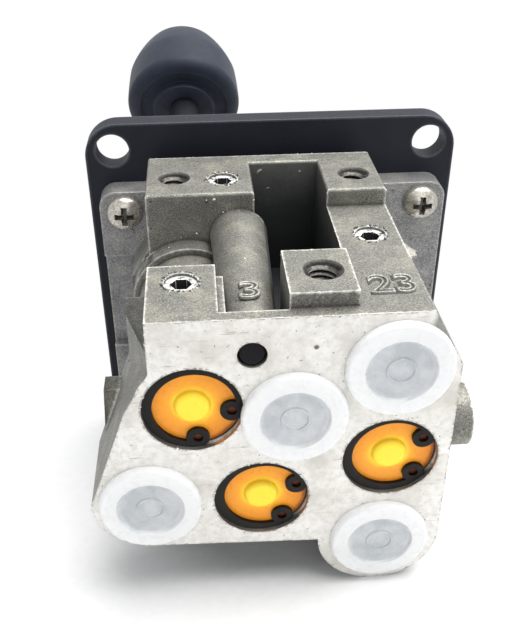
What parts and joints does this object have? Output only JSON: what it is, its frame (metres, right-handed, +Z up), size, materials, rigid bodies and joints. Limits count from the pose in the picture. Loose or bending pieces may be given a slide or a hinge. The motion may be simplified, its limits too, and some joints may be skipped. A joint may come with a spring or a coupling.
{
  "type": "tipper control valve",
  "caption": "Lever-worked air control valve for a tipper body: faceplate with slotted lever, cast valve block with plugged spool bores, capped ports and threaded holes.",
  "frame": {"origin": "centre of the faceplate's mounting face, which is the middle of its four mounting holes", "axes": "+Y square out of the panel towards the knob, +Z up the faceplate towards the side with the threaded holes, +X to the right seen from the port face"},
  "size_m": [0.1, 0.1825, 0.1035],
  "materials": {
    "plate": "satin black coating",
    "housing": "die-cast, smooth",
    "casting": "die-cast, rough, with a milled port face",
    "zinc": "zinc plated",
    "steel": "turned",
    "black_steel": "phosphated spring steel",
    "spring": "drawn wire",
    "brass": "turned",
    "spool": "turned",
    "orange": "moulded",
    "cap": "translucent soft plastic",
    "knob": "moulded",
    "rubber": "moulded",
    "vent": "glossy"
  },
  "bodies": {
    "casing": {"faceplate": "plate", "lever_housing": "housing", "valve_body": "casting", "housing_screws": "zinc", "body_bolts": "black_steel", "sealing_screws": "zinc", "vent_plug": "vent", "pivot_pin": "steel", "pivot_clips": "black_steel", "pivot_bushes": "brass", "friction_washer": "spring", "relief_spring": "spring", "bore_plug_1": "orange", "plug_seal_1": "rubber", "circlip_1": "black_steel", "bore_plug_2": "orange", "plug_seal_2": "rubber", "circlip_2": "black_steel", "bore_plug_3": "orange", "plug_seal_3": "rubber", "circlip_3": "black_steel", "port_cap_1": "cap", "port_cap_2": "cap", "port_cap_3": "cap", "port_cap_4": "cap", "spool_spring_1": "spring", "spool_spring_2": "spring"},
    "lever": {"lever_shaft": "black_steel", "lever_knob": "knob", "rocker_cam": "steel", "roll_pin": "spring"},
    "raise_spool": {"spool_1": "spool", "spool_seals_1": "rubber"},
    "lower_spool": {"spool_2": "spool", "spool_seals_2": "rubber"},
    "relief": {"relief_piston": "spool", "piston_seal": "rubber"}
  },
  "joints": [
    {"name": "lever_hinge", "type": "hinge", "parent": "casing", "child": "lever", "pos_m": [-0.0241, -0.0152, 0], "axis": [1, 0, 0], "range_deg": [-40, 0]},
    {"name": "raise_spool_slide", "type": "slide", "parent": "casing", "child": "raise_spool", "axis": [0, 1, 0], "range_m": [0, 0.01192], "deforming": ["spool_spring_1"]},
    {"name": "lower_spool_slide", "type": "slide", "parent": "casing", "child": "lower_spool", "axis": [0, 1, 0], "range_m": [-0.00613, 0], "deforming": ["spool_spring_2"]},
    {"name": "relief_slide", "type": "slide", "parent": "casing", "child": "relief", "axis": [0, 1, 0], "range_m": [0, 0.004], "stiffness_N_per_m": 1000, "springref_m": -0.002, "deforming": ["relief_spring"]}
  ],
  "couplings": [
    {"joint": "raise_spool_slide", "follows": "lever_hinge", "m_per_rad": -0.01705},
    {"joint": "lower_spool_slide", "follows": "lever_hinge", "m_per_rad": 0.00875}
  ]
}
